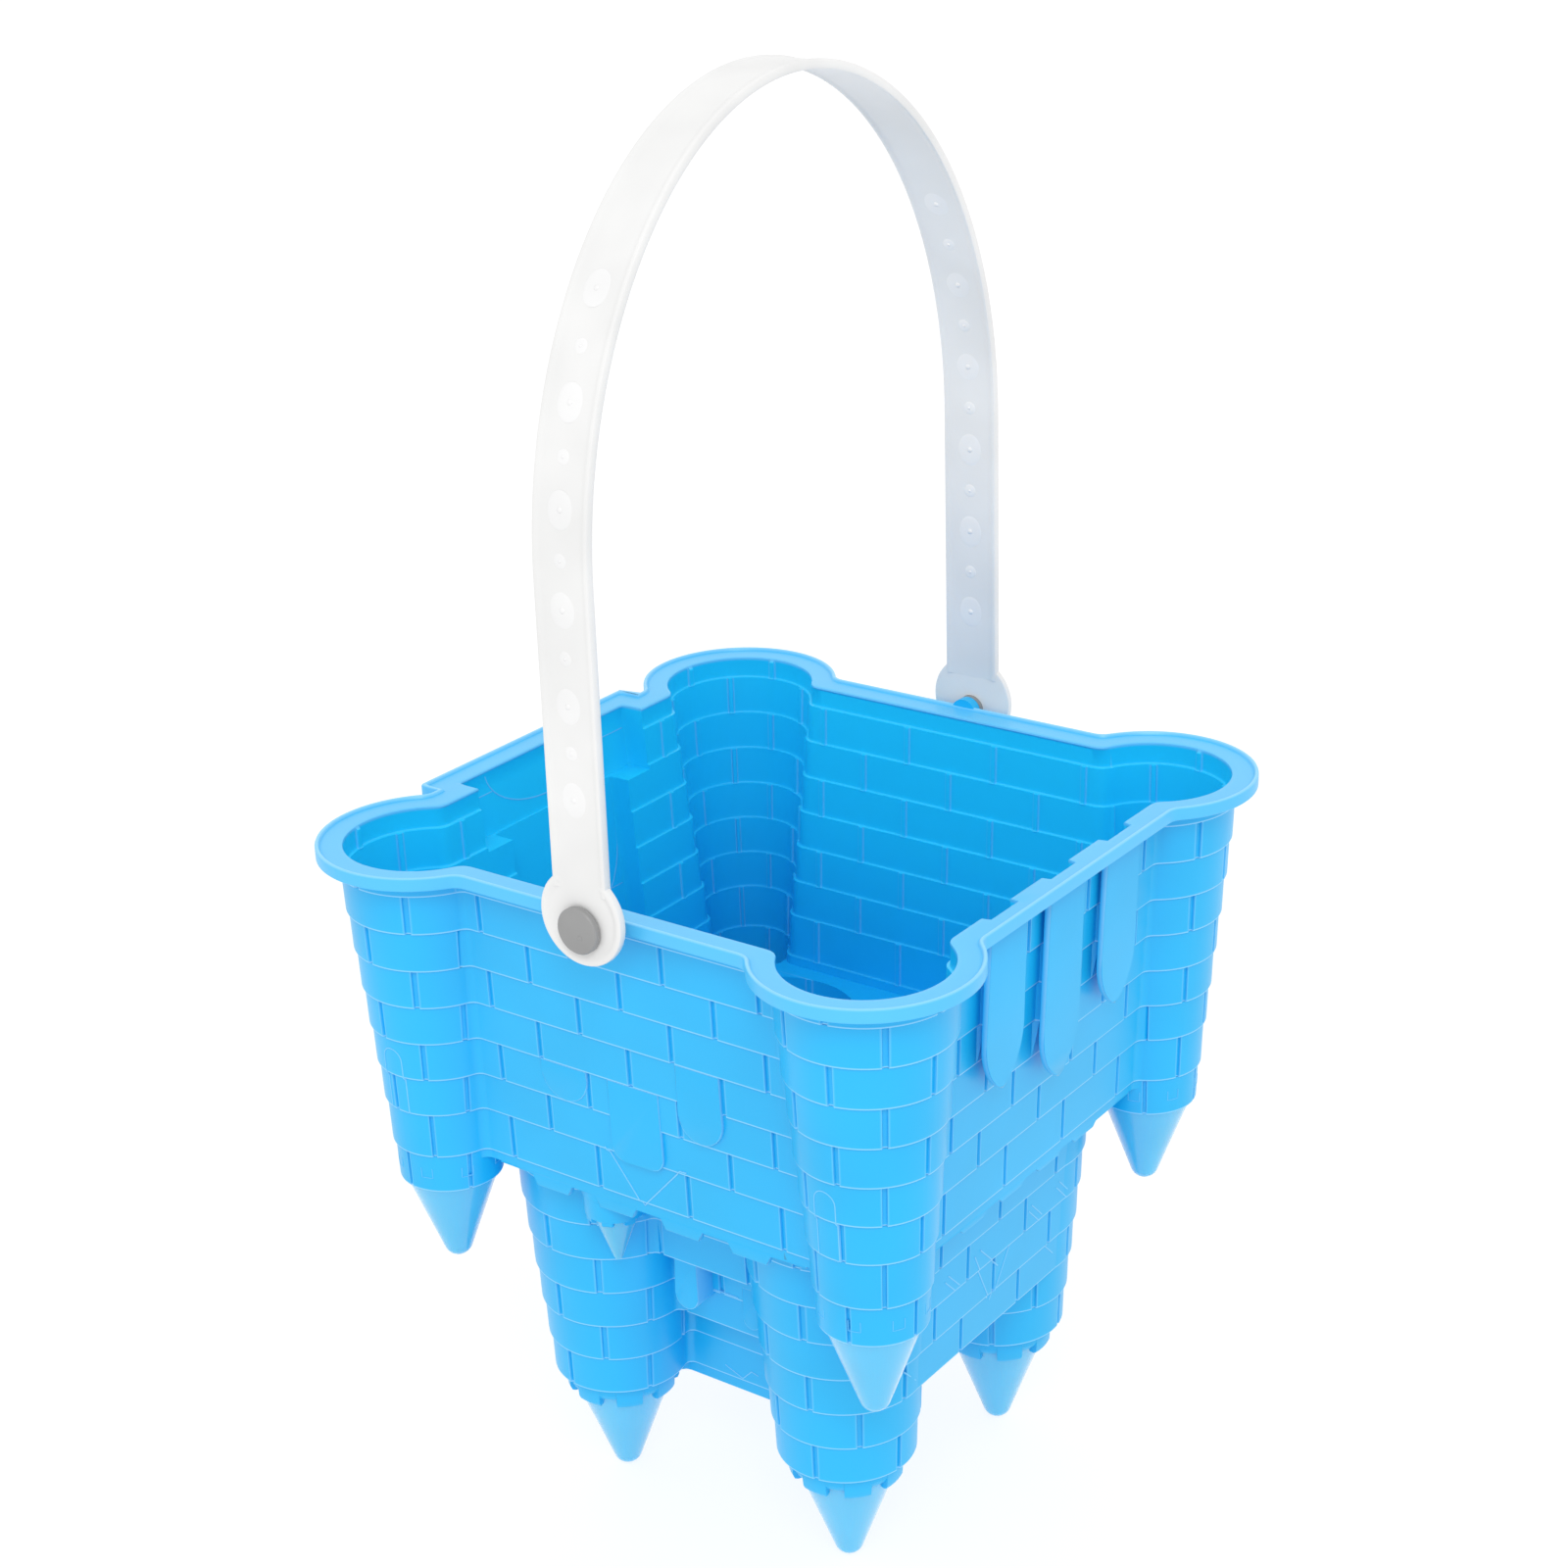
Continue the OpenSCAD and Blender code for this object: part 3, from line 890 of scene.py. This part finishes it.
def build_tabs():
    """The hanging tabs of the -Y and +Y walls: three on the upper tier and two on the lower."""
    tabs = ((-24.0, -12.0, 118.3, 109.9, None, 3), (-6.5, 6.6, 118.3, 99.8, 3.0, 3),
            (12.0, 22.9, 127.2, 110.3, None, 2))
    low_back = LOWER_WALL_Y[4] - 0.6
    made = []
    for side in (0, 2):
        for k, (u0, u1, top, bottom, r, i) in enumerate(tabs):
            made.append(plate("tab_%d_%d" % (side, k + 1), side, tab_outline(u0, u1, top, bottom, r),
                              lambda z, i=i: wall_face(0, i, z) - 0.3,
                              lambda z: wall_face(0, 4, z) - 0.7, 0.2))
        made.append(plate("low_tab_%d" % side, side, tab_outline(-8.5, -2.4, 66.0, 53.0),
                          lambda z: LOWER_WALL_Y[2] - 0.1, lambda z: low_back, 0.3))
        made.append(plate("low_tab_small_%d" % side, side, tab_outline(5.6, 10.2, 59.4, 49.4),
                          lambda z: LOWER_WALL_Y[3] + 0.2, lambda z: low_back, 0.2))
    return made


def crenel_outline(half, pitch, tooth, top, shallow, deep):
    """A hanging strip whose lower edge is a row of teeth."""
    slope = 1.0
    pts = [(-half, top), (-half, shallow)]
    for k in range(-2, 2):
        left, right = (k + 0.5) * pitch - tooth / 2, (k + 0.5) * pitch + tooth / 2
        pts += [(left - slope, shallow), (left, deep), (right, deep), (right + slope, shallow)]
    return pts + [(half, shallow), (half, top)]


def build_crenels():
    """The rows of teeth under the upper tier's walls."""
    top = LEDGE_Z + 0.3
    outlines = (crenel_outline(40.0, 17.2, 8.6, top, 87.5, 85.0),
                crenel_outline(42.0, 15.0, 8.0, top, 87.6, 86.4))
    made = []
    for side in (0, 2, 1, 3):
        made.append(plate("upper_teeth_%d" % side, side, outlines[side % 2],
                          lambda z, s=side: wall_face(s, LAST_UPPER, z) - 0.03,
                          lambda z, s=side: wall_face(s, LAST_UPPER, z) - 1.5, 0.12))
    return made


def build_turret():
    """The small turret that hangs under the ledge, with its toothed foot and its cone."""
    r, centre, foot = 7.1, (-14.8, -49.0), 79.6
    profile = [(r - 0.4, LEDGE_Z + 0.6), (r + 0.1, LEDGE_Z), (r, 85.6), (r - 0.25, 85.4),
               (r - 0.4, foot + 1.6), (r - 0.5, foot + 1.0), (r - 1.5, foot + 0.6), (0.05, foot + 0.5)]
    made = [revolve("turret", profile, centre, BLUE, 48)]
    teeth = 8
    for k in range(teeth):
        a = 2 * math.pi * (k + 0.5) / teeth
        bm = bmesh.new()
        bmesh.ops.create_cube(bm, size=1.0)
        bmesh.ops.scale(bm, vec=Vector((1.2, 2.6, 1.6)) * MM, verts=bm.verts)
        bmesh.ops.bevel(bm, geom=list(bm.edges), offset=0.2 * MM, segments=2, affect="EDGES")
        out = r - 1.2
        spot = Vector((centre[0] + out * math.cos(a), centre[1] + out * math.sin(a), foot + 0.75)) * MM
        bmesh.ops.transform(bm, matrix=Matrix.Translation(spot) @ Matrix.Rotation(a, 4, "Z"), verts=bm.verts)
        made.append(from_bmesh("turret_tooth_%d" % (k + 1), bm, BLUE))
    cone = cone_profile(foot + 0.4, 5.0, 68.1, 1.0, 0.6)
    made.append(revolve("turret_cone", cone, centre, CONE_BLUE, 40, closed=True))
    return made


def build_bosses():
    """The pivot bosses: a rib under the rim's top inside the flange, and a full round outside it."""
    rib_top, free = PIVOT_Z + 0.2, math.inf
    profile = ((BOSS_R, 61.9, rib_top), (BOSS_R, 66.6, rib_top), (BOSS_R, 66.7, free), (BOSS_R, 69.0, free),
               (BOSS_R - 0.2, BOSS_END, free), (2.1, BOSS_END, free))
    return [turned("boss_" + name, profile, sign, BLUE, 40) for sign, name in ENDS]


# ---------------------------------------------------------------- the handle
ARM_Y, BOW_Z, BOW_H, STRAP_W = 70.9, 228.0, 85.0, 13.2
EYE_Z, EYE_R = 160.6, 10.0
STRAP_LOW = EYE_Z + 5.6     # where the strap's ends stop inside the eyelets
WEB = 0.7                   # half thickness of the strap between its ribs


def bow_path():
    """Centre line of the strap as (y, z, normal), up the front arm, over the bow and down the rear arm."""
    path = []
    steps = 12
    for k in range(steps):
        path.append((-ARM_Y, STRAP_LOW + (BOW_Z - STRAP_LOW) * k / steps, (-1.0, 0.0)))
    count = 96
    for k in range(count + 1):
        t = math.pi - math.pi * k / count
        normal = Vector((math.cos(t) / ARM_Y, math.sin(t) / BOW_H)).normalized()
        path.append((ARM_Y * math.cos(t), BOW_Z + BOW_H * math.sin(t), tuple(normal)))
    for k in range(steps):
        path.append((ARM_Y, BOW_Z + (STRAP_LOW - BOW_Z) * (k + 1) / steps, (1.0, 0.0)))
    return path


def strap_section():
    """Cross-section as (across, out): a thin web between two thicker edge ribs."""
    half, rib, edge = STRAP_W / 2, 1.1, 1.0
    right = [(half, 0.0), (half, edge - 0.4), (half - 0.15, edge - 0.1), (half - 0.45, edge),
             (half - rib + 0.2, edge), (half - rib, edge - 0.1), (half - rib - 0.4, WEB + 0.06),
             (half - rib - 1.0, WEB)]
    upper = right + [(-x, n) for x, n in reversed(right)]
    return upper + [(x, -n) for x, n in reversed(upper[1:-1])]


def build_strap():
    """The strap, as one section carried along the bow."""
    path, section = bow_path(), strap_section()
    verts = [(x, y + ny * n, z + nz * n) for y, z, (ny, nz) in path for x, n in section]
    faces = grid_faces(len(path), len(section))
    faces.append(tuple(range(len(section))))
    faces.append(tuple(range(len(verts) - len(section), len(verts))))
    return to_object("handle_strap", verts, faces, WHITE, recalc=True)


def build_eyelet(sign, name):
    """A disc with a raised rim and a dished face, bored for the button. The rim opens at the strap."""
    count, bore, back, dish = 144, 3.15, 0.02 - WEB, WEB - 0.02

    def rise(degrees):
        """How much of the rim's height stands at this angle from the top."""
        away = abs((degrees + 180.0) % 360.0 - 180.0)
        return min(max((away - 31.0) / 8.0, 0.0), 1.0)

    def circle(r, out, lift=0.0, middle=EYE_Z):
        points = []
        for k in range(count):
            deg = 360.0 * k / count
            a = math.radians(deg)
            y = sign * (ARM_Y + out + lift * rise(deg))
            points.append((r * math.sin(a), y, middle + r * math.cos(a)))
        return points

    rings = [circle(bore, back, middle=PIVOT_Z), circle(EYE_R - 0.5, back), circle(EYE_R - 0.1, back + 0.15),
             circle(EYE_R, back + 0.5), circle(EYE_R, WEB - 0.35, 0.3), circle(EYE_R - 0.15, WEB - 0.1, 0.33)]
    for inset, lift in ((0.45, 0.4), (1.0, 0.38), (1.5, 0.22), (2.0, 0.05), (2.7, 0.0)):
        rings.append(circle(EYE_R - inset, dish, lift))
    rings += [circle(4.9, dish, middle=PIVOT_Z), circle(bore + 0.2, dish, middle=PIVOT_Z),
              circle(bore, WEB - 0.2, middle=PIVOT_Z)]
    verts = [point for points in rings for point in points]
    faces = grid_faces(len(rings), count, closed=True)
    return to_object("eyelet_" + name, verts, faces, WHITE, recalc=True)


def lens(name, centre, normal, size_x, size_z, height, mat):
    """A shallow domed spot, size_x by size_z, that stands out along normal by height."""
    rows, seg = 5, 28
    across = Vector((1.0, 0.0, 0.0))
    along = normal.cross(across)
    verts = []
    for j in range(rows + 1):
        t = math.pi / 2 * j / rows
        for k in range(seg):
            a = 2 * math.pi * k / seg
            p = centre + across * (size_x / 2 * math.cos(t) * math.cos(a))
            p = p + along * (size_z / 2 * math.cos(t) * math.sin(a)) + normal * (height * math.sin(t))
            verts.append(tuple(p))
    faces = [(a, d, c, b) for a, b, c, d in grid_faces(rows + 1, seg)]
    faces.append(tuple(reversed(range(seg))))
    return to_object(name, verts, faces, mat, 60)


def path_at(path, z, sign):
    """The point and normal on the front (sign -1) or rear arm at height z."""
    for (y0, z0, n0), (y1, z1, n1) in zip(path, path[1:]):
        low, high = min(z0, z1), max(z0, z1)
        if low <= z <= high and high > low and (y0 + y1) * sign > 0:
            t = (z - z0) / (z1 - z0)
            normal = Vector((0.0, n0[0] + (n1[0] - n0[0]) * t, n0[1] + (n1[1] - n0[1]) * t)).normalized()
            return Vector((0.0, y0 + (y1 - y0) * t, z)), normal
    raise ValueError("no such height on the bow")


def build_spots():
    """Alternating ovals and dots on both faces of both arms, each with a pip in its middle."""
    path, made = bow_path(), []
    first_z = {"front": 185.2, "rear": 181.8}
    large = ((6.0, 7.5, 0.14), (1.3, 1.3, 0.4))
    small = ((3.0, 3.0, 0.16), (0.8, 0.8, 0.36))
    for sign, name in ENDS:
        for k in range(11):
            centre, normal = path_at(path, first_z[name] + 9.5 * k, sign)
            oval, pip = large if k % 2 == 0 else small
            for face, tag in ((1, "outer"), (-1, "inner")):
                for part, (size_x, size_z, height) in (("oval", oval), ("pip", pip)):
                    label = "_".join((part, name, tag, str(k + 1)))
                    made.append(lens(label, centre + normal * (WEB - 0.04) * face, normal * face,
                                     size_x, size_z, height, MARK_WHITE))
    return made


def build_button(sign, name):
    """The push-in button: a chamfered head, its journal inside the eyelet and its shank in the boss."""
    profile = ((0.05, HEAD_FACE), (4.2, HEAD_FACE), (4.6, HEAD_FACE - 0.1), (4.85, HEAD_FACE - 0.4),
               (4.85, 72.05), (3.1, 72.0), (3.1, BOSS_END), (2.0, BOSS_END - 0.05), (2.0, 66.9),
               (0.05, 66.85))
    return turned("button_" + name, [(r, y, math.inf) for r, y in profile], sign, GREY, 56)


def build_gate_mark(sign, name):
    """The small moulding mark on a button's head."""
    centre = Vector((1.0, sign * (HEAD_FACE - 0.02), PIVOT_Z - 1.0))
    return lens("gate_mark_" + name, centre, Vector((0.0, sign, 0.0)), 1.0, 1.0, 0.2, GREY)


# ---------------------------------------------------------------- putting it together
def ride_all(pieces, body):
    for piece in pieces:
        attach(piece, body)


shell = build_shell()
tub_pieces = [shell] + build_upper_cones() + build_lower_ends() + build_panels() + build_tabs()
tub_pieces += build_lines() + build_crenels() + build_turret() + build_bosses()
ride_all(tub_pieces, "tub")
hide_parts("castle_tub")

strap = build_strap()
handle_pieces = [strap] + [build_eyelet(s, n) for s, n in ENDS] + build_spots()
ride_all(handle_pieces, "handle")
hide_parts("carry_handle")

for sign, name in ENDS:
    button = build_button(sign, name)
    ride_all([button, build_gate_mark(sign, name)], "tub")
    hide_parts("pivot_button_" + name)


# ---------------------------------------------------------------- floor, light and camera
def build_floor():
    mesh = bpy.data.meshes.new("floor")
    size = 40.0
    corners = [(-size, -size, 0), (size, -size, 0), (size, size, 0), (-size, size, 0)]
    mesh.from_pydata(corners, [], [(0, 1, 2, 3)])
    floor = bpy.data.objects.new("floor", mesh)
    bpy.context.scene.collection.objects.link(floor)
    mat, _, _, _ = principled("pale_floor", (0.2, 0.2, 0.2), 0.9, Emission_Color=(1, 1, 1, 1),
                              Emission_Strength=0.82)
    mesh.materials.append(mat)


def area_light(name, place, size, power):
    light = bpy.data.lights.new(name, "AREA")
    light.shape = "DISK"
    light.size = size
    light.energy = power
    obj = bpy.data.objects.new(name, light)
    obj.location = place
    obj.rotation_mode = "QUATERNION"
    aim = Vector((0, 0, 0.14))
    obj.rotation_quaternion = (aim - Vector(place)).to_track_quat("-Z", "Y")
    bpy.context.scene.collection.objects.link(obj)


def build_light():
    world = bpy.data.worlds.new("studio")
    world.use_nodes = True
    world.node_tree.nodes["Background"].inputs["Color"].default_value = (1, 1, 1, 1)
    world.node_tree.nodes["Background"].inputs["Strength"].default_value = 1.0
    bpy.context.scene.world = world
    area_light("high", (0.6, -0.85, 1.15), 0.6, 4.8)
    bpy.context.scene.view_settings.view_transform = "Standard"


def build_camera():
    azimuth, elevation, roll = math.radians(35.937), math.radians(21.991), math.radians(-1.751)
    target, distance = Vector((0.0, 0.0, 163.83)) * MM, 607.58 * MM
    back = Vector((math.sin(azimuth) * math.cos(elevation), -math.cos(azimuth) * math.cos(elevation),
                   math.sin(elevation)))
    right = Vector((math.cos(azimuth), math.sin(azimuth), 0.0))
    up = back.cross(right)
    right_rolled = math.cos(roll) * right + math.sin(roll) * up
    up_rolled = math.cos(roll) * up - math.sin(roll) * right
    data = bpy.data.cameras.new("camera")
    data.sensor_width = 36.0
    data.lens = 65.96
    data.shift_x = -0.0069
    camera = bpy.data.objects.new("camera", data)
    axes = Matrix((right_rolled, up_rolled, back)).transposed()
    camera.matrix_world = Matrix.Translation(target + back * distance) @ axes.to_4x4()
    bpy.context.scene.collection.objects.link(camera)
    bpy.context.scene.camera = camera


build_floor()
build_light()
build_camera()
